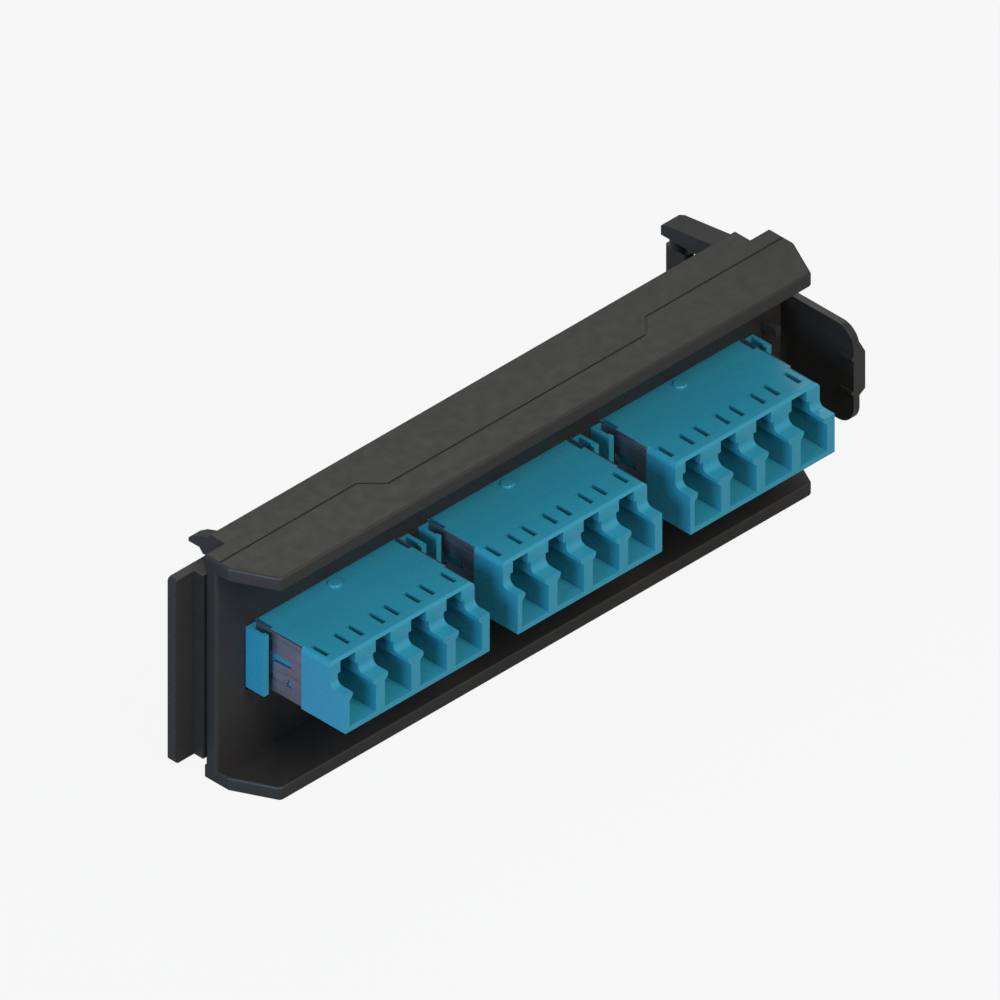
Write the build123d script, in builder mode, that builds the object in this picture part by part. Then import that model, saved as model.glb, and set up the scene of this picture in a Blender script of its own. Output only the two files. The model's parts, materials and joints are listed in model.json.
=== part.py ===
from build123d import *
import os

# Adapter plate that holds three quad fibre adapters, in millimetres.
# X runs along the plate, the ports that face the user look along -Y, and +Z is up.
# The plate stands on its lower lip at Z = 0, and the back of its wall lies on Y = 0.

# Plate: a wall with a lip along its top and its bottom
end_margin = 6.75
plate_height = 34.1
wall_thickness = 2.1
wall_end_round = 0.5
lip_thickness = 2.05
lip_reach = 10.4
lip_square_end = 4.1
lip_taper = 3.1
lip_corner_round = 0.8
lip_edge_round = 0.4
lip_inner_round = 0.3

# Pockets in the wall, which seat the adapters
pocket_depth = 0.5
pocket_clearance = 0.2

# Strips that carry on each lip behind the wall
strip_reach = 2.9
strip_end_inset = 3.6
strip_edge_round = 0.35

# Engraved line on the top face
line_width = 0.3
line_depth = 0.15
line_end_inset = 0.2
line_side_y = -2.45
line_middle_y = -5.2
line_jog_x = 22.8

# Guide nibs at the left end of the strips
nib_width = 2.1
nib_reach = 6.5
nib_flat = 1.3
nib_slope_drop = 1.44
nib_slope_reach = 5.2
nib_tip_drop = 2.3
nib_tip_thickness = 0.55
nib_notch_reach = 4.6
nib_neck_reach = 4.0
nib_neck_drop = 3.55

# Hook tab behind the left end
tab_overhang = 3.6
tab_root_inset = 3.5
tab_height = 28.0
tab_thickness = 1.4
tab_gap = 1.6
web_overhang = 0.3
tab_corner_round = 0.6

# Rear arms at the right end, which carry the latch
arm_width = 3.25
arm_reach = 12.2
arm_flat = 3.9
arm_knee_reach = 6.6
arm_knee_drop = 0.77
arm_foot_reach = 8.9
arm_foot_drop = 2.05
arm_tip_drop = 2.27
arm_underside = 3.4

# Small stop lug on the front of the wall, beside the right adapter
lug_from_end = 3.5
lug_width = 0.9
lug_length = 2.8
lug_height = 1.2
lug_top_drop = 11.1

# Release latch, which turns about an upright axis between the rear arms
pivot_y = 10.7
hub_thickness = 1.7
hub_side_clearance = 0.325
hub_front = 2.2
hub_rear = 1.65
hub_round = 0.5
hub_end_gap = 1.9
trunnion_radius = 1.15
trunnion_clearance = 0.05
trunnion_depth = 0.6
latch_height = 14.7
latch_side_gap = 1.3
lever_thickness = 1.05
lever_reach = 13.4
lever_corner_round = 2.8
cross_thickness = 1.6
bend_round = 2.4
bend_inner_round = 1.2
catch_depth = 0.8
catch_height = 9.0
catch_flat = 0.5
catch_ramp = 4.0
pad_depth = 1.0
pad_length = 3.2
pad_height = 8.1
pad_top_slope = 1.85
pad_bottom_slope = 0.6
pad_top_drop = 2.15
rib_depth = 0.35
rib_height = 0.5
rib_length = 2.2
rib_spacing = 5.2
rib_top_drop = 4.0
finger_thickness = 0.7
finger_gap = 0.35
finger_offset = 3.2
finger_height = 6.0

# Adapters, each with a front and a rear half that meet where it seats on the wall
adapter_count = 3
adapter_gap = 5.0
front_length = 16.5
rear_length = 12.1
hole_clearance = 0.2

# Ports of an adapter: a square opening with two narrower slots above it for the plug's latch
port_count = 4
port_pitch = 6.25
port_width = 4.7
port_height = 4.5
port_corner_rise = 0.5
port_floor = 0.75
left_end_wall = 0.75
right_end_wall = 1.3
lower_slot_width = 3.6
lower_slot_height = 1.9
upper_slot_width = 2.65
upper_slot_height = 1.25
roof_thickness = 0.95

# Stepped nose above the ports, measured back from the mouth
nose_flat = 1.2
nose_sill = 0.6
nose_ramp_radius = 1.2
nose_step = 0.25
side_round = 0.8

# Latch windows in the roof, two over each port
window_width = 0.75
window_length = 2.9
window_from_mouth = 5.75
window_spacing = 3.75
window_depth = 2.6

# Round nub on the roof
nub_radius = 0.95
nub_height = 0.3
nub_round = 0.2
nub_from_seat = 1.9

# Side ears, which stop the adapter on the wall: a base, an outer fin and a front wall
ear_reach = 1.45
ear_gap = 0.3
ear_fin = 0.45
ear_length = 3.8
ear_base = 0.7
ear_front = 0.7
ear_height = 9.35
ear_drop = 0.3

# Grooves in the roof beside the clips
groove_width = 0.6
groove_length = 3.0
groove_depth = 0.6

# Ferrule holders, in two halves that meet on the middle of the sleeves
holder_wall = 0.4
holder_roof = 0.75
holder_clearance = 0.05
holder_flange = 1.2
holder_radius = 1.5
holder_lip = 0.45
holder_mouth_radius = 0.7
sleeve_length = 6.8
sleeve_radius = 0.8
sleeve_bore_radius = 0.62
sleeve_slit = 0.25
sleeve_clearance = 0.05

# Steel side clips
clip_thickness = 0.3
clip_top_drop = 0.1
clip_bottom_rise = 0.3
clip_front = 8.7
clip_rear = 6.0
clip_window_height = 3.0
clip_window_drop = 0.6
clip_root_clearance = 0.1
clip_root_window = 1.3
front_window_end = 6.8
front_window_root = 3.2
rear_window_end = 4.1
tongue_height = 2.4
tongue_drop = 0.8
front_tongue_length = 2.9
front_tongue_spread = 0.2
rear_tongue_spread = 0.95
tongue_gap = 0.1

# Sizes that follow from the ones above
body_width = left_end_wall + (port_count - 1) * port_pitch + port_width + right_end_wall
body_height = port_floor + port_height + lower_slot_height + upper_slot_height + roof_thickness
adapter_pitch = body_width + adapter_gap
half_length = (adapter_count - 1) * adapter_pitch / 2 + body_width / 2 + end_margin
plate_length = 2 * half_length
mid_height = plate_height / 2
strip_half = half_length - strip_end_inset
body_bottom = mid_height - body_height / 2
body_top = mid_height + body_height / 2
seat_y = pocket_depth - wall_thickness
front_mouth_y = seat_y - front_length
rear_mouth_y = seat_y + rear_length
port_floor_z = body_bottom + port_floor
ferrule_z = port_floor_z + port_width / 2
sleeve_middle_y = (front_mouth_y + rear_mouth_y) / 2
holder_half = sleeve_length / 2 + sleeve_clearance + holder_lip
holder_width = body_width - 2 * (clip_thickness + holder_wall)
holder_height = body_height - 2 * holder_roof
ear_middle_z = mid_height - ear_drop
clip_height = body_height - clip_top_drop - clip_bottom_rise
clip_middle_z = mid_height + (clip_bottom_rise - clip_top_drop) / 2
clip_window_z = mid_height - clip_window_drop
pivot_x = half_length - end_margin + hub_side_clearance + hub_thickness / 2
arm_inner_x = pivot_x - arm_width / 2
lever_inner_x = half_length + latch_side_gap
lever_outer_x = lever_inner_x + lever_thickness
latch_bottom = mid_height - latch_height / 2
latch_top = mid_height + latch_height / 2
adapter_xs = [(i - (adapter_count - 1) / 2) * adapter_pitch for i in range(adapter_count)]
first_port_x = left_end_wall + port_width / 2 - body_width / 2
port_xs = [first_port_x + i * port_pitch for i in range(port_count)]


def lip_outline():
    """Closed outline of a lip and its rear strip, seen from above."""
    front = half_length - lip_taper
    Polyline(
        (-half_length, 0),
        (-half_length, -lip_square_end),
        (-front, -lip_reach),
        (front, -lip_reach),
        (half_length, -lip_square_end),
        (half_length, 0),
        (strip_half, 0),
        (strip_half, strip_reach),
        (-strip_half, strip_reach),
        (-strip_half, 0),
        close=True,
    )


def port_outline():
    """Closed outline of one port and its latch slots, from the middle of its floor."""
    half = port_width / 2
    lower = lower_slot_width / 2
    upper = upper_slot_width / 2
    step = port_height + lower_slot_height
    top = step + upper_slot_height
    Polyline(
        (-half, 0),
        (half, 0),
        (half, port_height - port_corner_rise),
        (lower, port_height),
        (lower, step),
        (upper, step),
        (upper, top),
        (-upper, top),
        (-upper, step),
        (-lower, step),
        (-lower, port_height),
        (-half, port_height - port_corner_rise),
        close=True,
    )


def nib_outline():
    """Side outline of a guide nib below the top face: distance behind the wall, then height."""
    top = plate_height
    Polyline(
        (0, top),
        (nib_flat, top),
        (nib_slope_reach, top - nib_slope_drop),
        (nib_reach, top - nib_tip_drop),
        (nib_reach, top - nib_tip_drop - nib_tip_thickness),
        (nib_notch_reach, top - nib_tip_drop - nib_tip_thickness),
        (nib_neck_reach, top - nib_neck_drop),
        (0, top - nib_neck_drop),
        close=True,
    )


def arm_outline():
    """Side outline of a rear arm below the top face: distance behind the wall, then height."""
    top = plate_height
    Polyline(
        (0, top),
        (arm_flat, top),
        (arm_knee_reach, top - arm_knee_drop),
        (arm_foot_reach, top - arm_foot_drop),
        (arm_reach, top - arm_tip_drop),
        (arm_reach, top - arm_underside),
        (0, top - arm_underside),
        close=True,
    )


def make_plate():
    """The moulded plate with everything that is one piece with it."""
    with BuildPart() as plate:
        # Wall between the lips
        with BuildSketch(Plane.XZ):
            with Locations((0, mid_height)):
                Rectangle(plate_length, plate_height)
        extrude(amount=wall_thickness)
        fillet(plate.edges().filter_by(Axis.Z), wall_end_round)
        # Lips and the strips behind them
        for level in (0, plate_height - lip_thickness):
            with BuildSketch(Plane.XY.offset(level)) as lip:
                with BuildLine():
                    lip_outline()
                make_face()
                fillet(lip.vertices().filter_by(lambda v: v.Y < -lip_square_end / 2), lip_corner_round)
            extrude(amount=lip_thickness)
        # Rounded outer edges of the lips and of the plate's ends
        front = plate.edges().filter_by(lambda e: e.center().Y < -wall_thickness / 4)
        outer = front.group_by(Axis.Z)[-1] + front.group_by(Axis.Z)[0]
        fillet(outer, lip_edge_round)
        inner = plate.edges().filter_by(Axis.X).group_by(Axis.Y)[0].sort_by(Axis.Z)[1:3]
        fillet(inner, lip_inner_round)
        rear = plate.edges().filter_by(Axis.X).group_by(Axis.Y)[-1]
        fillet(rear.group_by(Axis.Z)[-1] + rear.group_by(Axis.Z)[0], strip_edge_round)
        # Guide nibs at the left end
        with BuildSketch(Plane.YZ.offset(-strip_half)):
            with BuildLine():
                nib_outline()
            make_face()
        extrude(amount=nib_width)
        # Rear arms at the right end, each with a blind hole for a trunnion
        with BuildSketch(Plane.YZ.offset(arm_inner_x)):
            with BuildLine():
                arm_outline()
            make_face()
        extrude(amount=arm_width)
        with BuildSketch(Plane.XY.offset(plate_height - arm_underside)):
            with Locations((pivot_x, pivot_y)):
                Circle(trunnion_radius + trunnion_clearance)
        extrude(amount=trunnion_depth + trunnion_clearance, mode=Mode.SUBTRACT)
        # The bottom has the same nib and arm as the top
        mirror(about=Plane.XY.offset(mid_height))
        # Hook tab at the left end, on a web behind the wall
        tab_root_x = -half_length + tab_root_inset
        with BuildSketch(Plane.XZ.offset(-tab_gap)):
            with Locations((tab_root_x, mid_height)):
                Rectangle(tab_root_inset + web_overhang, tab_height, align=(Align.MAX, Align.CENTER))
        extrude(amount=tab_gap)
        with BuildSketch(Plane.XZ.offset(-tab_gap - tab_thickness)):
            with Locations((tab_root_x, mid_height)):
                Rectangle(tab_root_inset + tab_overhang, tab_height, align=(Align.MAX, Align.CENTER))
        extrude(amount=tab_thickness)
        tab_edges = plate.edges().filter_by(Axis.Y).group_by(Axis.X)[0]
        fillet(tab_edges, tab_corner_round)
        # Openings for the adapters, each in a shallow pocket for the ears
        adapter_centres = [(x, mid_height) for x in adapter_xs]
        with BuildSketch(Plane.XZ):
            with Locations(adapter_centres):
                Rectangle(body_width + 2 * hole_clearance, body_height + 2 * hole_clearance)
        extrude(amount=wall_thickness, mode=Mode.SUBTRACT)
        with BuildSketch(Plane.XZ.offset(-seat_y)):
            with Locations([(x, ear_middle_z) for x in adapter_xs]):
                Rectangle(
                    body_width + 2 * (ear_reach + pocket_clearance),
                    ear_height + 2 * pocket_clearance,
                )
        extrude(amount=pocket_depth, mode=Mode.SUBTRACT)
        # Stop lug beside the right adapter
        with BuildSketch(Plane.XZ.offset(wall_thickness)):
            with Locations((half_length - lug_from_end, plate_height - lug_top_drop)):
                Rectangle(lug_width, lug_height, align=(Align.CENTER, Align.MAX))
        extrude(amount=lug_length)
        # Fine engraved line along the top face, which steps forward in the middle
        with BuildSketch(Plane.XY.offset(plate_height)):
            line_end = half_length - line_end_inset
            jog_start = line_jog_x + (line_side_y - line_middle_y)
            with BuildLine() as engraved:
                Polyline(
                    (-line_end, line_side_y),
                    (-jog_start, line_side_y),
                    (-line_jog_x, line_middle_y),
                    (line_jog_x, line_middle_y),
                    (jog_start, line_side_y),
                    (line_end, line_side_y),
                )
            trace(engraved.line, line_width)
        extrude(amount=-line_depth, mode=Mode.SUBTRACT)
    return plate


def make_latch():
    """The lever, with the hub, the trunnions, the catch, the pad and the return finger."""
    hub_top = plate_height - arm_underside - hub_end_gap
    hub_bottom = plate_height - hub_top
    cross_front_y = pivot_y - cross_thickness / 2
    cross_rear_y = pivot_y + cross_thickness / 2
    with BuildPart() as latch:
        # Lever and the cross plate that joins it to the hub
        with BuildSketch(Plane.XY.offset(latch_bottom)) as plan:
            with BuildLine():
                Polyline(
                    (pivot_x, cross_rear_y),
                    (lever_outer_x, cross_rear_y),
                    (lever_outer_x, -lever_reach),
                    (lever_inner_x, -lever_reach),
                    (lever_inner_x, cross_front_y),
                    (pivot_x, cross_front_y),
                    close=True,
                )
            make_face()
            bend = plan.vertices().filter_by(lambda v: v.X > lever_inner_x - 0.01 and v.Y > 0)
            fillet(bend.sort_by(Axis.X)[-1], bend_round)
            fillet(plan.vertices().sort_by(lambda v: abs(v.X - lever_inner_x) + abs(v.Y - cross_front_y))[0],
                   bend_inner_round)
        extrude(amount=latch_height)
        # Rounded front corners of the lever
        front = latch.edges().filter_by(Axis.X).group_by(Axis.Y)[0]
        fillet(front, lever_corner_round)
        # Hub between the arms, with a trunnion at each end
        with BuildSketch(Plane.XY.offset(hub_bottom)):
            with Locations((pivot_x, pivot_y + (hub_rear - hub_front) / 2)):
                RectangleRounded(hub_thickness, hub_front + hub_rear, hub_round)
        extrude(amount=hub_top - hub_bottom)
        for hub_end, direction in ((hub_top, 1), (hub_bottom, -1)):
            with BuildSketch(Plane.XY.offset(hub_end)):
                with Locations((pivot_x, pivot_y)):
                    Circle(trunnion_radius)
            extrude(amount=direction * (hub_end_gap + trunnion_depth))
        # Catch on the outer face, level with the front of the hook tab
        with BuildSketch(Plane.XY.offset(mid_height - catch_height / 2)):
            with BuildLine():
                Polyline(
                    (lever_outer_x - lever_thickness / 2, tab_gap),
                    (lever_outer_x + catch_depth, tab_gap),
                    (lever_outer_x + catch_depth, tab_gap + catch_flat),
                    (lever_outer_x, tab_gap + catch_ramp),
                    (lever_outer_x - lever_thickness / 2, tab_gap + catch_ramp),
                    close=True,
                )
            make_face()
        extrude(amount=catch_height)
        # Grip pad on the outer face at the front
        pad_top = latch_top - pad_top_drop
        with BuildSketch(Plane.XZ.offset(lever_reach - pad_length)):
            with BuildLine():
                Polyline(
                    (lever_outer_x - lever_thickness / 2, pad_top),
                    (lever_outer_x, pad_top),
                    (lever_outer_x + pad_depth, pad_top - pad_top_slope),
                    (lever_outer_x + pad_depth, pad_top - pad_height + pad_bottom_slope),
                    (lever_outer_x, pad_top - pad_height),
                    (lever_outer_x - lever_thickness / 2, pad_top - pad_height),
                    close=True,
                )
            make_face()
        extrude(amount=pad_length)
        # Two short ribs on the inner face at the front
        with BuildSketch(Plane.XZ.offset(lever_reach - rib_length)):
            with Locations([(lever_inner_x, latch_top - rib_top_drop - i * rib_spacing) for i in range(2)]):
                Rectangle(rib_depth, rib_height, align=(Align.MAX, Align.MAX))
        extrude(amount=rib_length)
        # Return finger, which bears on the back of the wall when the lever is pressed
        with BuildSketch(Plane.XY.offset(mid_height - finger_height / 2)):
            with Locations((pivot_x + finger_offset, finger_gap)):
                Rectangle(finger_thickness, cross_front_y - finger_gap + cross_thickness / 2,
                          align=(Align.CENTER, Align.MIN))
        extrude(amount=finger_height)
    return latch


def make_housing(mouth_y, inward, length, clip_reach):
    """One half of an adapter: a shell with the ports, the nose above them and the roof."""
    side = Plane(origin=(0, mouth_y, 0), x_dir=(0, inward, 0), z_dir=(inward, 0, 0))
    mouth = Plane(origin=(0, mouth_y, 0), x_dir=(-inward, 0, 0), z_dir=(0, inward, 0))
    nose_top = port_floor_z + port_height + nose_sill
    nose_end = nose_flat + nose_ramp_radius
    shoulder_top = nose_top + nose_ramp_radius
    with BuildPart() as housing:
        # Block with a stepped nose above the ports
        with BuildSketch(side.offset(-body_width / 2)):
            with BuildLine():
                Polyline((nose_end + nose_step, body_top), (length, body_top), (length, body_bottom))
                Polyline((length, body_bottom), (0, body_bottom), (0, nose_top), (nose_flat, nose_top))
                RadiusArc((nose_flat, nose_top), (nose_end, shoulder_top), nose_ramp_radius)
                Line((nose_end, shoulder_top), (nose_end + nose_step, body_top))
            make_face()
        extrude(amount=body_width)
        # Rounded long edges of the nose and the roof, as far as the clips
        with BuildSketch(mouth):
            for corner in (1, -1):
                with Locations((corner * (body_width - side_round) / 2, body_top - side_round / 2)):
                    Rectangle(side_round, side_round)
                with Locations((corner * (body_width / 2 - side_round), body_top - side_round)):
                    Circle(side_round, mode=Mode.SUBTRACT)
        extrude(amount=length - clip_reach, mode=Mode.SUBTRACT)
        # The sides step in for the thickness of the steel clips
        for face in (1, -1):
            with BuildSketch(side.offset(face * body_width / 2)):
                with Locations((length - clip_reach / 2, mid_height)):
                    Rectangle(clip_reach, body_height)
            extrude(amount=-face * clip_thickness, mode=Mode.SUBTRACT)
        # Ports with their latch slots
        with BuildSketch(mouth):
            for port_x in port_xs:
                with BuildLine(Location((-inward * port_x, port_floor_z))):
                    port_outline()
                make_face()
        extrude(amount=length, mode=Mode.SUBTRACT)
        # Windows in the roof beside each latch slot
        window_y = mouth_y + inward * window_from_mouth
        with BuildSketch(Plane.XY.offset(body_top)):
            for port_x in port_xs:
                with Locations((port_x - window_spacing / 2, window_y), (port_x + window_spacing / 2, window_y)):
                    Rectangle(window_width, window_length)
        extrude(amount=-window_depth, mode=Mode.SUBTRACT)
    return housing


def make_front_housing():
    """The front half, which also has the pocket for the ferrule holders and carries the side ears."""
    half = make_housing(front_mouth_y, 1, front_length, clip_front)
    with BuildPart() as housing:
        add(half.part)
        with BuildSketch(Plane.XZ.offset(-seat_y)):
            with Locations((0, mid_height)):
                Rectangle(holder_width, holder_height)
        extrude(amount=seat_y - sleeve_middle_y + holder_flange, mode=Mode.SUBTRACT)
        for face in (1, -1):
            side_x = face * body_width / 2
            # Root of the ear through the window of the clip
            root_width = clip_thickness + ear_gap
            with BuildSketch(Plane.XZ.offset(-seat_y)):
                with Locations((side_x + face * (root_width / 2 - clip_thickness), clip_window_z)):
                    Rectangle(root_width, clip_window_height - 2 * clip_root_clearance)
            extrude(amount=ear_base)
            # Base of the ear on the wall, its outer fin and its front wall
            with BuildSketch(Plane.XZ.offset(-seat_y)):
                with Locations((side_x + face * ear_reach / 2, ear_middle_z)):
                    Rectangle(ear_reach, ear_height)
            extrude(amount=ear_base)
            with BuildSketch(Plane.XZ.offset(-seat_y)):
                with Locations((side_x + face * (ear_reach - ear_fin / 2), ear_middle_z)):
                    Rectangle(ear_fin, ear_height)
            extrude(amount=ear_length)
            with BuildSketch(Plane.XZ.offset(-seat_y + ear_length - ear_front)):
                with Locations((side_x + face * (ear_reach + ear_gap) / 2, ear_middle_z)):
                    Rectangle(ear_reach - ear_gap, ear_height)
            extrude(amount=ear_front)
            # Short groove in the roof beside the clip
            with BuildSketch(Plane.XY.offset(body_top)):
                with Locations((side_x - face * (clip_thickness + groove_width / 2), seat_y)):
                    Rectangle(groove_width, groove_length, align=(Align.CENTER, Align.MAX))
            extrude(amount=-groove_depth, mode=Mode.SUBTRACT)
        with BuildSketch(Plane.XY.offset(body_top)):
            with Locations((0, seat_y - nub_from_seat)):
                Circle(nub_radius)
        extrude(amount=nub_height)
        fillet(housing.edges().group_by(Axis.Z)[-1], nub_round)
    return housing


def make_holder(outward, flange):
    """One half of the ferrule holders: a flange across the adapter with a tube for each port."""
    middle = Plane(origin=(0, sleeve_middle_y, 0), x_dir=(-outward, 0, 0), z_dir=(0, outward, 0))
    ferrules = [(-outward * port_x, ferrule_z) for port_x in port_xs]
    with BuildPart() as holder:
        with BuildSketch(middle):
            with Locations((0, mid_height)):
                Rectangle(holder_width - 2 * holder_clearance, holder_height - 2 * holder_clearance)
        extrude(amount=flange)
        with BuildSketch(middle):
            with Locations(ferrules):
                Circle(holder_radius)
        extrude(amount=holder_half)
        with BuildSketch(middle):
            with Locations(ferrules):
                Circle(holder_mouth_radius)
        extrude(amount=holder_half, mode=Mode.SUBTRACT)
        with BuildSketch(middle):
            with Locations(ferrules):
                Circle(sleeve_radius + sleeve_clearance)
        extrude(amount=holder_half - holder_lip, mode=Mode.SUBTRACT)
    return holder


def make_sleeve():
    """Split sleeve that lines up the two ferrules of one port."""
    with BuildPart() as sleeve:
        with BuildSketch(Plane.XZ.offset(-sleeve_middle_y - sleeve_length / 2)):
            with Locations((0, ferrule_z)):
                Circle(sleeve_radius)
                Circle(sleeve_bore_radius, mode=Mode.SUBTRACT)
                Rectangle(sleeve_slit, 2 * sleeve_radius, align=(Align.CENTER, Align.MIN), mode=Mode.SUBTRACT)
        extrude(amount=sleeve_length)
    return sleeve


def make_clip(face):
    """Flat steel strap in the side of an adapter, with a tongue ahead of the ear and one behind the wall."""
    outer_x = face * body_width / 2
    inner_x = outer_x - face * clip_thickness
    front_y = seat_y - clip_front
    rear_y = seat_y + clip_rear
    windows = (
        (seat_y - front_window_end, seat_y - front_window_root),
        (seat_y - clip_root_window, seat_y + rear_window_end),
    )
    with BuildPart() as clip:
        with BuildSketch(Plane.YZ.offset(inner_x)):
            with Locations(((front_y + rear_y) / 2, clip_middle_z)):
                Rectangle(rear_y - front_y, clip_height)
            for start_y, end_y in windows:
                with Locations(((start_y + end_y) / 2, clip_window_z)):
                    Rectangle(end_y - start_y, clip_window_height, mode=Mode.SUBTRACT)
        extrude(amount=face * clip_thickness)
        # The front tongue lies almost flat, and the rear one bears on the back of the wall
        front_root = seat_y - front_window_end
        tongues = (
            (front_root, front_root + front_tongue_length, front_tongue_spread),
            (seat_y + rear_window_end, tongue_gap, rear_tongue_spread),
        )
        for root_y, tip_y, spread in tongues:
            with BuildSketch(Plane.XY.offset(mid_height - tongue_drop - tongue_height / 2)):
                with BuildLine():
                    Polyline(
                        (inner_x, root_y),
                        (outer_x, root_y),
                        (outer_x + face * spread, tip_y),
                        (inner_x + face * spread, tip_y),
                        close=True,
                    )
                make_face()
            extrude(amount=tongue_height)
    return clip


def save(piece, name, x=0):
    """Set a finished piece at its place along the plate, label it and write it."""
    with BuildPart() as placed:
        with Locations((x, 0, 0)):
            add(piece.part)
    placed.part.label = name
    export_step(placed.part, f"parts/{name}.step")


os.makedirs("parts", exist_ok=True)
save(make_plate(), "plate")
save(make_latch(), "release_latch")
front_housing = make_front_housing()
rear_housing = make_housing(rear_mouth_y, -1, rear_length, clip_rear)
front_holder = make_holder(-1, holder_flange)
rear_holder = make_holder(1, seat_y - sleeve_middle_y)
sleeve = make_sleeve()
clips = {"left": make_clip(-1), "right": make_clip(1)}
for place, adapter_x in zip(("left", "middle", "right"), adapter_xs):
    save(front_housing, f"{place}_front_housing", adapter_x)
    save(rear_housing, f"{place}_rear_housing", adapter_x)
    save(front_holder, f"{place}_front_holder", adapter_x)
    save(rear_holder, f"{place}_rear_holder", adapter_x)
    for number, port_x in enumerate(port_xs, start=1):
        save(sleeve, f"{place}_split_sleeve_{number}", adapter_x + port_x)
    for end, clip in clips.items():
        save(clip, f"{place}_clip_{end}", adapter_x)
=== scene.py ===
import json
import math
import bmesh
import bpy
from mathutils import Matrix, Vector


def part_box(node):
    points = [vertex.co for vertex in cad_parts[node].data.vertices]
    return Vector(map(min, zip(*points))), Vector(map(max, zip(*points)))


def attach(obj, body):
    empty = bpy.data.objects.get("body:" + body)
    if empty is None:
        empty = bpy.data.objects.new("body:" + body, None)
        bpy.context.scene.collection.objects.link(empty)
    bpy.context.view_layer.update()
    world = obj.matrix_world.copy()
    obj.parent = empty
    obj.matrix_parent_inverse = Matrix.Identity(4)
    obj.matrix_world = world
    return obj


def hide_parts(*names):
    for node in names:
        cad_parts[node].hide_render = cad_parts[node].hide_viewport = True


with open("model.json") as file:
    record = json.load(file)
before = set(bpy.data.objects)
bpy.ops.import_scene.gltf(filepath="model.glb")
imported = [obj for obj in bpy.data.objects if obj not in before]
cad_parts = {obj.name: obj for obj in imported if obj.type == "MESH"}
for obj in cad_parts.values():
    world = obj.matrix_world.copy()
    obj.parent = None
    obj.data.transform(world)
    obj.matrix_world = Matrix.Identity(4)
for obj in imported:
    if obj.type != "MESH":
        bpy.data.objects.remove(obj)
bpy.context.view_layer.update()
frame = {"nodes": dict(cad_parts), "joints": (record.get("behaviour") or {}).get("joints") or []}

nodes = frame["nodes"]

# The scene is in metres. X runs along the plate, and the ports that face the user look along -Y.

# Camera: an isometric view without perspective
view_middle = Vector((0.001588, -0.000587, 0.01705))
view_width = 0.125
camera_distance = 0.6
nearest_seen = 0.01
farthest_seen = 10.0

# Depth of the plastics' grain, and how far polish and wear move their roughness
coarse_grain = 0.00002
fine_grain = 0.000012
polish = 0.06
wear = 0.08

# Floor and world
floor_half = 2.0
floor_drop = 0.00002
floor_white_share = 0.9
world_strength = 0.38
world_colour = (0.93, 0.96, 1.0, 1)
white = (1, 1, 1, 1)

# Lamps, all at one distance
lamp_distance = 0.8

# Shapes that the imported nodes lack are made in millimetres, on enlarged copies of the nodes.
MM = 0.001
grid_digits = 4
X, Y, Z = 0, 1, 2

# Cleaning of those copies
weld_distance = 0.00001
join_distance = 0.003
sliver_length = 0.001
smooth_angle = math.radians(25)

# How far a prism runs on past what it shapes, and what keeps two faces out of one plane
overshoot = 0.5
skin = 0.002
hair = 0.001


def box_mm(node):
    """Lowest and highest corner of a node in millimetres."""
    return [[round(value / MM, grid_digits) for value in corner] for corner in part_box(node)]


# Places that follow from the frame
plate_top = box_mm("plate")[1][Z]
arm_reach = box_mm("plate")[1][Y]
front_mouth = box_mm("middle_front_housing")[0][Y]
seat = box_mm("middle_rear_housing")[0][Y]
body_half, rear_mouth, body_top = box_mm("middle_rear_housing")[1]
pivot_x, pivot_y = [round(value / MM, grid_digits) for value in frame["joints"][0]["pos_m"][:2]]
adapter_xs = {}
for adapter in ("left", "middle", "right"):
    low, high = box_mm(f"{adapter}_rear_housing")
    adapter_xs[adapter] = (low[X] + high[X]) / 2

# Hollow over the ports: its ledge, its upright back and the rounded edge of the roof
ledge_height = 18.22
hollow_depth = 2.66
hollow_radius = 0.9
hollow_arc_steps = 10
roof_radius = 0.55
roof_arc_steps = 6

# Latch slots over the ports: a wide low part and a taller narrow one
port_count = 4
port_pitch = 6.25
first_port_x = -9.65
wide_slot_half = 1.8
narrow_slot_half = 1.325
slot_bottom = 19.4
slot_step = 19.7
slot_top = 21.35
slot_length = 8.5

# Side ears: a base, an outer fin and a front wall, joined to the body by a root inside the base
ear_reach = 1.6
ear_gap = 0.75
ear_length = 3.7
ear_wall = 0.7
ear_fin = 0.55
ear_bottom = 12.45
ear_top = 21.55
root_overlap = 0.2
root_reach = 0.75
root_inset = 0.01
root_bottom = 15.06
root_top = 17.84

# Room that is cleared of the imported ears, a little into the body
ear_room_depth = 0.1
ear_room_length = 4.5

# Strips behind the lips, and the rear arms that carry the latch
strip_reach = 2.9
strip_thickness = 2.05
strip_radius = 0.35
strip_arc_steps = 5
arm_width = 3.25
arm_underside = 3.4
arm_buried_drop = 0.6
arm_buried_reach = 1.5
arm_rise_reach = 2.7
arm_bevel_reach = 11.2
arm_bevel_drop = 1.55
arm_tip_drop = 2.0
hole_radius = 1.2
hole_depth = 0.65
hole_sides = 48

# Side clips: the room over the front tongue, and the notch at the tongue's root
room_front, room_back = -8.4, -4.8
room_bottom, room_top = 17.9, 18.35
notch_front, notch_tip, notch_back = -8.55, -8.1, -7.7
notch_bottom, notch_top = 14.5, 15.95
clip_cut_depth = 0.5
clip_cut_reach = 1.0


def add_object(name, data):
    """A new object in the scene."""
    piece = bpy.data.objects.new(name, data)
    bpy.context.scene.collection.objects.link(piece)
    return piece


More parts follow.
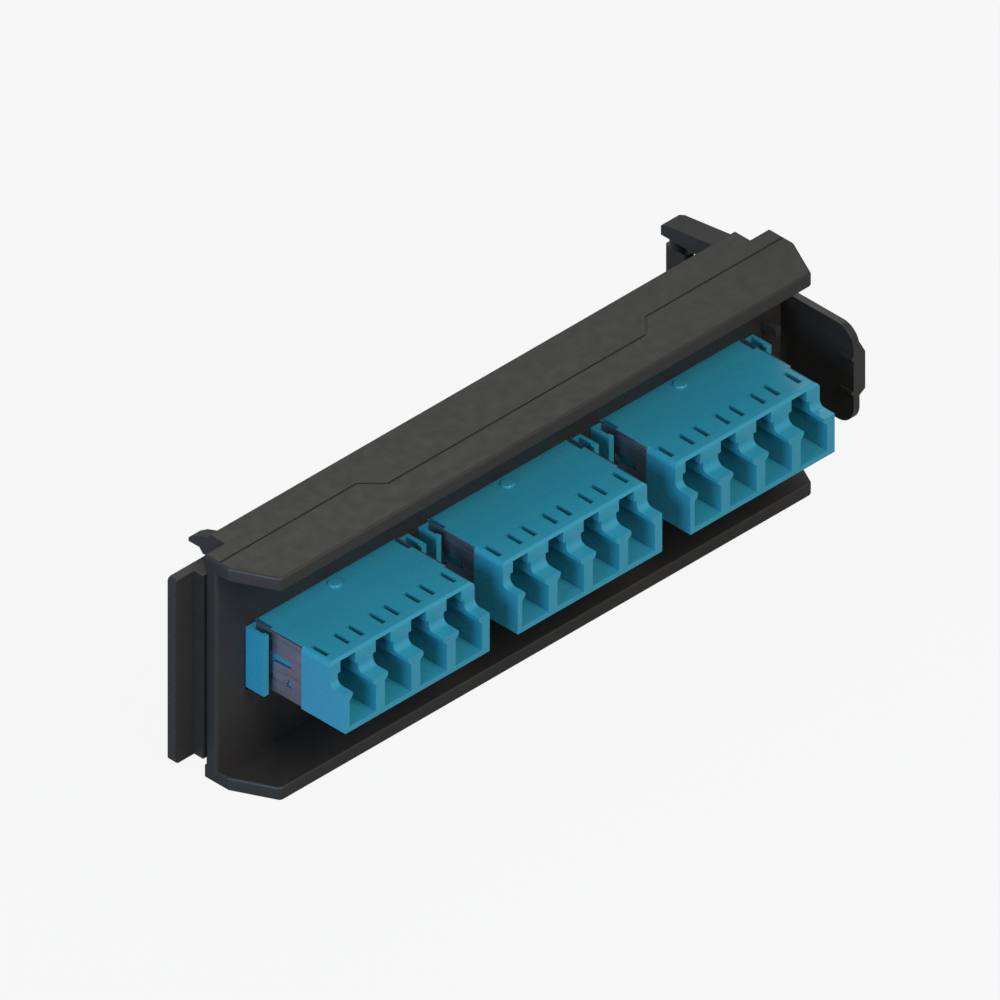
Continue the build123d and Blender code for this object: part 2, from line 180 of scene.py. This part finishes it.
def add_camera():
    data = bpy.data.cameras.new("camera")
    data.type = "ORTHO"
    data.ortho_scale = view_width
    data.clip_start = nearest_seen
    data.clip_end = farthest_seen
    camera = add_object("camera", data)
    camera.location = view_middle + Vector((-1, -1, 1)).normalized() * camera_distance
    camera.rotation_euler = (math.atan(math.sqrt(2)), 0, -math.pi / 4)
    return camera


camera = add_camera()
bpy.context.scene.camera = camera


# Materials

class NodeTree:
    """Adds nodes to the tree of a material or the world, and links them."""

    def __init__(self, owner):
        owner.use_nodes = True
        self.nodes = owner.node_tree.nodes
        self.links = owner.node_tree.links

    def put(self, socket, value):
        """Link a socket to another node's output, or set its value."""
        if isinstance(value, bpy.types.NodeSocket):
            self.links.new(value, socket)
        else:
            socket.default_value = value

    def add(self, kind, inputs=None, **settings):
        """A new node with its settings and inputs."""
        node = self.nodes.new(kind)
        for name, value in settings.items():
            setattr(node, name, value)
        for socket, value in (inputs or {}).items():
            self.put(node.inputs[socket], value)
        return node


class Look(NodeTree):
    """A material and the textures that feed its shader."""

    # A mix node's colour sockets go by number, because its sockets share their names.
    first_colour, second_colour, mixed_colour = 6, 7, 2

    def __init__(self, name):
        self.material = bpy.data.materials.new(name)
        super().__init__(self.material)
        self.shader = self.nodes["Principled BSDF"]
        self.coords = self.add("ShaderNodeTexCoord").outputs["Object"]

    def give(self, name, value):
        """Set or link an input of the shader."""
        self.put(self.shader.inputs[name], value)

    def noise(self, scale, detail, roughness=0.5, stretch=(1, 1, 1), distortion=0.0):
        """Noise with about this many features to a metre."""
        mapping = self.add("ShaderNodeMapping", {"Vector": self.coords, "Scale": stretch})
        inputs = {"Vector": mapping.outputs["Vector"], "Scale": scale, "Detail": detail}
        inputs |= {"Roughness": roughness, "Distortion": distortion}
        return self.add("ShaderNodeTexNoise", inputs).outputs["Fac"]

    def spread(self, value, low, high, start=0.3, end=0.7):
        """The part of a value's range from start to end, spread from low to high."""
        inputs = {"Value": value, "From Min": start, "From Max": end, "To Min": low, "To Max": high}
        return self.add("ShaderNodeMapRange", inputs).outputs["Result"]

    def mix(self, factor, first, second):
        inputs = {"Factor": factor, self.first_colour: first, self.second_colour: second}
        return self.add("ShaderNodeMix", inputs, data_type="RGBA").outputs[self.mixed_colour]

    def bump(self, height, strength, distance, edge):
        """Relief on the surface, with edges that look rounded by the radius edge."""
        bevel = self.add("ShaderNodeBevel", {"Radius": edge}, samples=6)
        inputs = {"Height": height, "Strength": strength, "Distance": distance}
        inputs["Normal"] = bevel.outputs["Normal"]
        return self.add("ShaderNodeBump", inputs).outputs["Normal"]


def srgb(red, green, blue):
    """Linear colour for a colour given as 0 to 255 sRGB values."""
    def linear(value):
        value = value / 255
        return value / 12.92 if value <= 0.04045 else ((value + 0.055) / 1.055) ** 2.4
    return (linear(red), linear(green), linear(blue), 1.0)


def grey(level):
    return (level, level, level, 1)


def moulded_plastic(name, dark, light, rough, edge, grain=coarse_grain, specular=0.5):
    """Moulded plastic: fine spark-eroded grain, soft flow marks and slightly worn edges."""
    look = Look(name)
    flow = look.noise(scale=90, detail=3, stretch=(0.35, 1, 1), distortion=0.6)
    specks = look.noise(scale=2600, detail=2, roughness=0.7)
    fine = look.noise(scale=5200, detail=3, roughness=0.65)
    worn = look.noise(scale=500, detail=5, roughness=0.6)
    tone = look.mix(look.spread(flow, low=0.3, high=0.7), dark, light)
    tone = look.mix(look.spread(specks, low=0.0, high=0.12, start=0.35, end=0.75), tone, light)
    look.give("Base Color", tone)
    look.give("Roughness", look.spread(worn, low=rough - polish, high=rough + wear))
    look.give("Specular IOR Level", specular)
    look.give("Normal", look.bump(fine, strength=0.35, distance=grain, edge=edge))
    return look.material


def black_plastic():
    dark, light = srgb(36, 33, 31), srgb(43, 39, 36)
    return moulded_plastic("black_plastic", dark, light, rough=0.48, edge=0.00006, specular=0.45)


def lever_plastic():
    dark, light = srgb(33, 31, 29), srgb(45, 42, 38)
    return moulded_plastic("lever_plastic", dark, light, rough=0.38, edge=0.00008)


def aqua_plastic():
    dark, light = srgb(41, 129, 150), srgb(47, 140, 163)
    return moulded_plastic("aqua_plastic", dark, light, rough=0.28, edge=0.00006, grain=fine_grain)


def spring_steel():
    """Rolled steel: fine streaks and soft darker clouds."""
    dark, light, cloudy = srgb(141, 136, 149), srgb(168, 161, 175), srgb(122, 118, 130)
    look = Look("spring_steel")
    streaks = look.noise(scale=2600, detail=3, roughness=0.6, stretch=(0.05, 0.05, 1))
    cloud = look.noise(scale=260, detail=3)
    tone = look.mix(look.spread(streaks, low=0.2, high=0.8), dark, light)
    tone = look.mix(look.spread(cloud, low=0, high=0.25), tone, cloudy)
    look.give("Base Color", tone)
    look.give("Metallic", 1.0)
    look.give("Roughness", look.spread(streaks, low=0.42, high=0.56))
    look.give("Normal", look.bump(streaks, strength=0.2, distance=0.00001, edge=0.00005))
    return look.material


def zirconia():
    """White ceramic, finely ground."""
    dark, light = srgb(226, 224, 216), srgb(238, 236, 230)
    look = Look("zirconia")
    cloud = look.noise(scale=600, detail=3)
    fine = look.noise(scale=5200, detail=3, roughness=0.65)
    look.give("Base Color", look.mix(look.spread(cloud, low=0, high=1), dark, light))
    look.give("Roughness", look.spread(cloud, low=0.16, high=0.28))
    look.give("Normal", look.bump(fine, strength=0.1, distance=0.000004, edge=0.00003))
    return look.material


def studio_floor():
    """A grey floor, which the camera sees as nearly white."""
    look = Look("studio_floor")
    cloud = look.noise(scale=6, detail=2)
    look.give("Base Color", look.mix(look.spread(cloud, low=0, high=1), grey(0.31), grey(0.35)))
    look.give("Roughness", 0.8)
    look.give("Specular IOR Level", 0.1)
    glow = look.add("ShaderNodeEmission", {"Color": white, "Strength": 1.0})
    seen = look.add("ShaderNodeLightPath").outputs["Is Camera Ray"]
    share = look.add("ShaderNodeMath", {0: seen, 1: floor_white_share}, operation="MULTIPLY")
    shaders = {0: share.outputs[0], 1: look.shader.outputs[0], 2: glow.outputs[0]}
    mixed = look.add("ShaderNodeMixShader", shaders).outputs[0]
    look.put(look.nodes["Material Output"].inputs["Surface"], mixed)
    return look.material


black = black_plastic()
lever_black = lever_plastic()
aqua = aqua_plastic()
steel = spring_steel()
ceramic = zirconia()


def node_material(node):
    """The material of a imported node, by its name."""
    if node == "plate":
        return black
    if node == "release_latch":
        return lever_black
    if "housing" in node or "holder" in node:
        return aqua
    if "sleeve" in node:
        return ceramic
    return steel


def dress(piece, material):
    piece.data.materials.clear()
    piece.data.materials.append(material)


for name, node in nodes.items():
    dress(node, node_material(name))


# Tools for the shapes: outlines are swept along one axis, then cut from or joined to a copy of a node.

def arc(centre, radius, start, end, steps):
    """Points of an arc between two angles in degrees."""
    angles = [math.radians(start + (end - start) * i / steps) for i in range(steps + 1)]
    return [(centre[0] + radius * math.cos(a), centre[1] + radius * math.sin(a)) for a in angles]


def box_outline(low, high):
    return [(low[0], low[1]), (high[0], low[1]), (high[0], high[1]), (low[0], high[1])]


def beside_body(side, near, far):
    """Two places in X, near and far out from the body's left side, -1, or its right side, 1."""
    return side * (body_half + near), side * (body_half + far)


def add_prism(draft, outline, span, axis):
    """A closed prism: an outline swept along an axis from one end of the span to the other."""
    ends = []
    for reach in span:
        corners = []
        for point in outline:
            place = list(point)
            place.insert(axis, reach)
            corners.append(draft.verts.new(place))
        draft.faces.new(corners)
        ends.append(corners)
    first, last = ends
    for i in range(len(outline)):
        draft.faces.new((first[i - 1], first[i], last[i], last[i - 1]))


def combine(shell, operation, prisms):
    """Cut prisms from a shell, or join them to it."""
    draft = bmesh.new()
    for outline, span, axis in prisms:
        add_prism(draft, outline, span, axis)
    bmesh.ops.recalc_face_normals(draft, faces=draft.faces)
    mesh = bpy.data.meshes.new("tool")
    draft.to_mesh(mesh)
    draft.free()
    tool = add_object("tool", mesh)
    modifier = shell.modifiers.new("shape", "BOOLEAN")
    modifier.operation = operation
    modifier.solver = "EXACT"
    modifier.object = tool
    solid = shell.evaluated_get(bpy.context.evaluated_depsgraph_get())
    shaped = bpy.data.meshes.new_from_object(solid)
    shell.modifiers.clear()
    shell.data = shaped
    bpy.data.objects.remove(tool)


def start_shell(node, name):
    """A new object with a copy of a node's mesh in millimetres, its split corners joined."""
    draft = bmesh.new()
    draft.from_mesh(nodes[node].data)
    bmesh.ops.remove_doubles(draft, verts=draft.verts, dist=weld_distance * MM)
    for corner in draft.verts:
        corner.co = [round(value / MM, grid_digits) for value in corner.co]
    mesh = bpy.data.meshes.new(name)
    draft.to_mesh(mesh)
    draft.free()
    mesh.attributes.remove(mesh.attributes["custom_normal"])
    return add_object(name, mesh)


def finish_shell(shell, node, material):
    """Clean a shell, bring it back to metres and let it stand for its node."""
    mesh = shell.data
    draft = bmesh.new()
    draft.from_mesh(mesh)
    bmesh.ops.remove_doubles(draft, verts=draft.verts, dist=join_distance)
    bmesh.ops.dissolve_degenerate(draft, edges=draft.edges, dist=sliver_length)
    draft.to_mesh(mesh)
    draft.free()
    mesh.transform(Matrix.Scale(MM, 4))
    mesh.polygons.foreach_set("use_smooth", [True] * len(mesh.polygons))
    mesh.set_sharp_from_angle(angle=smooth_angle)
    dress(shell, material)
    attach(shell, "frame")
    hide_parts(node)


# Housings

def cove_prism(mouth, inward):
    """What is cut from above the ledge over the ports, up to the rounded edge of the roof."""
    roof_y = hollow_depth + roof_radius
    outline = [(-overshoot, ledge_height)]
    hollow_centre = (hollow_depth - hollow_radius, ledge_height + hollow_radius)
    outline += arc(hollow_centre, hollow_radius, -90, 0, hollow_arc_steps)
    outline += arc((roof_y, body_top - roof_radius + skin), roof_radius, 180, 90, roof_arc_steps)
    outline += [(roof_y, body_top + overshoot), (-overshoot, body_top + overshoot)]
    outline = [(mouth + inward * depth, height) for depth, height in outline]
    return outline, (-body_half - overshoot, body_half + overshoot), X


def slot_prisms(mouth, inward):
    """The latch slots of the ports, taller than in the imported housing, for the first part of the way in."""
    wide, narrow = wide_slot_half, narrow_slot_half
    outline = [(-wide, slot_bottom), (wide, slot_bottom), (wide, slot_step), (narrow, slot_step)]
    outline += [(narrow, slot_top), (-narrow, slot_top), (-narrow, slot_step), (-wide, slot_step)]
    span = (mouth - inward * overshoot, mouth + inward * slot_length)
    port_xs = [first_port_x + i * port_pitch for i in range(port_count)]
    return [([(port_x + x, z) for x, z in outline], span, Y) for port_x in port_xs]


def ear_room_prism(side):
    """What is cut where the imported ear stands."""
    near, far = beside_body(side, -ear_room_depth, ear_reach + overshoot)
    outline = box_outline((near, seat - ear_room_length), (far, seat + overshoot))
    return outline, (ear_bottom - overshoot, ear_top + overshoot), Z


def root_prism(side):
    """What joins an ear to the body."""
    near, far = beside_body(side, -root_overlap, root_reach)
    outline = box_outline((near, seat - ear_wall + root_inset), (far, seat - root_inset))
    return outline, (root_bottom, root_top), Z


def ear_prism(side):
    """An ear: its base beside the body, the outer fin and the front wall."""
    fin = ear_reach - ear_fin
    front = -ear_length
    plan = [(skin, 0), (ear_reach, 0), (ear_reach, front), (ear_gap, front), (ear_gap, front + ear_wall)]
    plan += [(fin, front + ear_wall), (fin, -ear_wall), (skin, -ear_wall)]
    outline = [(side * (body_half + reach), seat + depth) for reach, depth in plan]
    return outline, (ear_bottom, ear_top), Z


def make_front_shell():
    """A front housing with the hollow over its ports, taller slots and wider ears."""
    sides = (-1, 1)
    shell = start_shell("middle_front_housing", "front_shell")
    cuts = [ear_room_prism(side) for side in sides] + [cove_prism(front_mouth, 1)]
    combine(shell, "DIFFERENCE", cuts)
    combine(shell, "DIFFERENCE", slot_prisms(front_mouth, 1))
    combine(shell, "UNION", [root_prism(side) for side in sides])
    combine(shell, "UNION", [ear_prism(side) for side in sides])
    return shell


def make_rear_shell():
    """A rear housing with the hollow over its ports and taller slots."""
    shell = start_shell("middle_rear_housing", "rear_shell")
    combine(shell, "DIFFERENCE", [cove_prism(rear_mouth, -1)])
    combine(shell, "DIFFERENCE", slot_prisms(rear_mouth, -1))
    return shell


# Clips

def make_clip_shell(side):
    """A side clip with more room over its front tongue and a punched notch at the tongue's root."""
    shell = start_shell("middle_clip_left" if side < 0 else "middle_clip_right", "clip_shell")
    room = box_outline((room_front, room_bottom), (room_back, room_top))
    notch = [(notch_front, notch_bottom), (notch_back, notch_bottom), (notch_tip, notch_top)]
    span = beside_body(side, -clip_cut_depth, clip_cut_reach)
    combine(shell, "DIFFERENCE", [(room, span, X), (notch, span, X)])
    return shell


# Plate

def on_both_arms(outline, width):
    """Prisms on the upper and the lower arm, from points of reach and drop towards the middle."""
    span = (pivot_x - width / 2, pivot_x + width / 2)
    upper = [(reach, plate_top - drop) for reach, drop in outline]
    return [(upper, span, X), (outline, span, X)]


def packed_arm_outline():
    """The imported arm, without the round-edged strip that it stands on."""
    end = arm_reach + overshoot
    foot = arm_underside + overshoot
    round_y = strip_reach - strip_radius
    strip_foot = strip_thickness + skin
    outline = [(end, foot), (end, -overshoot), (round_y, -overshoot)]
    outline += arc((round_y, strip_radius), strip_radius, -90, 0, strip_arc_steps)
    outline += [(strip_reach, strip_foot), (skin, strip_foot), (skin, foot)]
    return outline


def straight_arm_outline():
    """An arm whose top rises out of the strip and slopes straight down to a bevelled tip."""
    slope = arm_bevel_drop / arm_bevel_reach
    outline = [(-overshoot, arm_buried_drop), (arm_buried_reach, arm_buried_drop)]
    outline += [(arm_rise_reach, slope * arm_rise_reach), (arm_bevel_reach, arm_bevel_drop)]
    outline += [(arm_reach, arm_tip_drop), (arm_reach, arm_underside), (-overshoot, arm_underside)]
    return outline


def trunnion_hole_prisms():
    """The blind holes in the arms."""
    last_angle = 360 - 360 / hole_sides
    outline = arc((pivot_x, pivot_y), hole_radius, 0, last_angle, hole_sides - 1)
    drops = (arm_underside - hole_depth, arm_underside + overshoot)
    return [(outline, [plate_top - drop for drop in drops], Z), (outline, drops, Z)]


def make_plate_shell():
    """The plate with straight rear arms."""
    shell = start_shell("plate", "plate_shell")
    combine(shell, "DIFFERENCE", on_both_arms(packed_arm_outline(), arm_width + 2 * hair))
    combine(shell, "UNION", on_both_arms(straight_arm_outline(), arm_width))
    combine(shell, "DIFFERENCE", trunnion_hole_prisms())
    return shell


def copy_to_adapters(pattern, part, material):
    """Give each adapter a copy of a shell that was made for the middle one."""
    for adapter, x in adapter_xs.items():
        mesh = pattern.data.copy()
        mesh.transform(Matrix.Translation((x, 0, 0)))
        shell = add_object(f"{adapter}_{part}_shell", mesh)
        finish_shell(shell, f"{adapter}_{part}", material)
    bpy.data.objects.remove(pattern)


finish_shell(make_plate_shell(), "plate", black)
copy_to_adapters(make_front_shell(), "front_housing", aqua)
copy_to_adapters(make_rear_shell(), "rear_housing", aqua)
copy_to_adapters(make_clip_shell(-1), "clip_left", steel)
copy_to_adapters(make_clip_shell(1), "clip_right", steel)


# Floor, world and lamps

def add_floor():
    mesh = bpy.data.meshes.new("floor")
    corners = [(x, y, 0) for x, y in box_outline((-floor_half, -floor_half), (floor_half, floor_half))]
    mesh.from_pydata(corners, [], [(0, 1, 2, 3)])
    floor = add_object("floor", mesh)
    floor.location.z = -floor_drop
    dress(floor, studio_floor())
    return floor


def add_world():
    """A soft sky, which the camera sees as plain white."""
    world = bpy.data.worlds.new("studio")
    tree = NodeTree(world)
    sky = tree.nodes["Background"]
    tree.put(sky.inputs["Color"], world_colour)
    tree.put(sky.inputs["Strength"], world_strength)
    backdrop = tree.add("ShaderNodeBackground", {"Color": white, "Strength": 1.0})
    seen = tree.add("ShaderNodeLightPath").outputs["Is Camera Ray"]
    shaders = {0: seen, 1: sky.outputs[0], 2: backdrop.outputs[0]}
    mixed = tree.add("ShaderNodeMixShader", shaders).outputs[0]
    tree.put(tree.nodes["World Output"].inputs["Surface"], mixed)
    return world


def softbox(name, direction, size, power, colour):
    """A square area lamp that shines at the middle of the view."""
    data = bpy.data.lights.new(name, "AREA")
    data.shape = "SQUARE"
    data.size = size
    data.energy = power
    data.color = colour
    lamp = add_object(name, data)
    lamp.location = view_middle + Vector(direction).normalized() * lamp_distance
    lamp.rotation_euler = (lamp.location - view_middle).to_track_quat("Z", "Y").to_euler()


floor = add_floor()
bpy.context.scene.world = add_world()
softbox("left", direction=(-1.6, -0.3, 0.45), size=0.40, power=4.8, colour=(0.46, 0.68, 1.0))
softbox("front", direction=(-0.15, -1.2, 1.2), size=0.40, power=4.6, colour=(1.0, 0.99, 0.94))
softbox("back_top", direction=(0.7, 0.9, 1.3), size=0.35, power=0.8, colour=(0.97, 1.0, 0.93))

bpy.context.scene.view_settings.view_transform = "Standard"
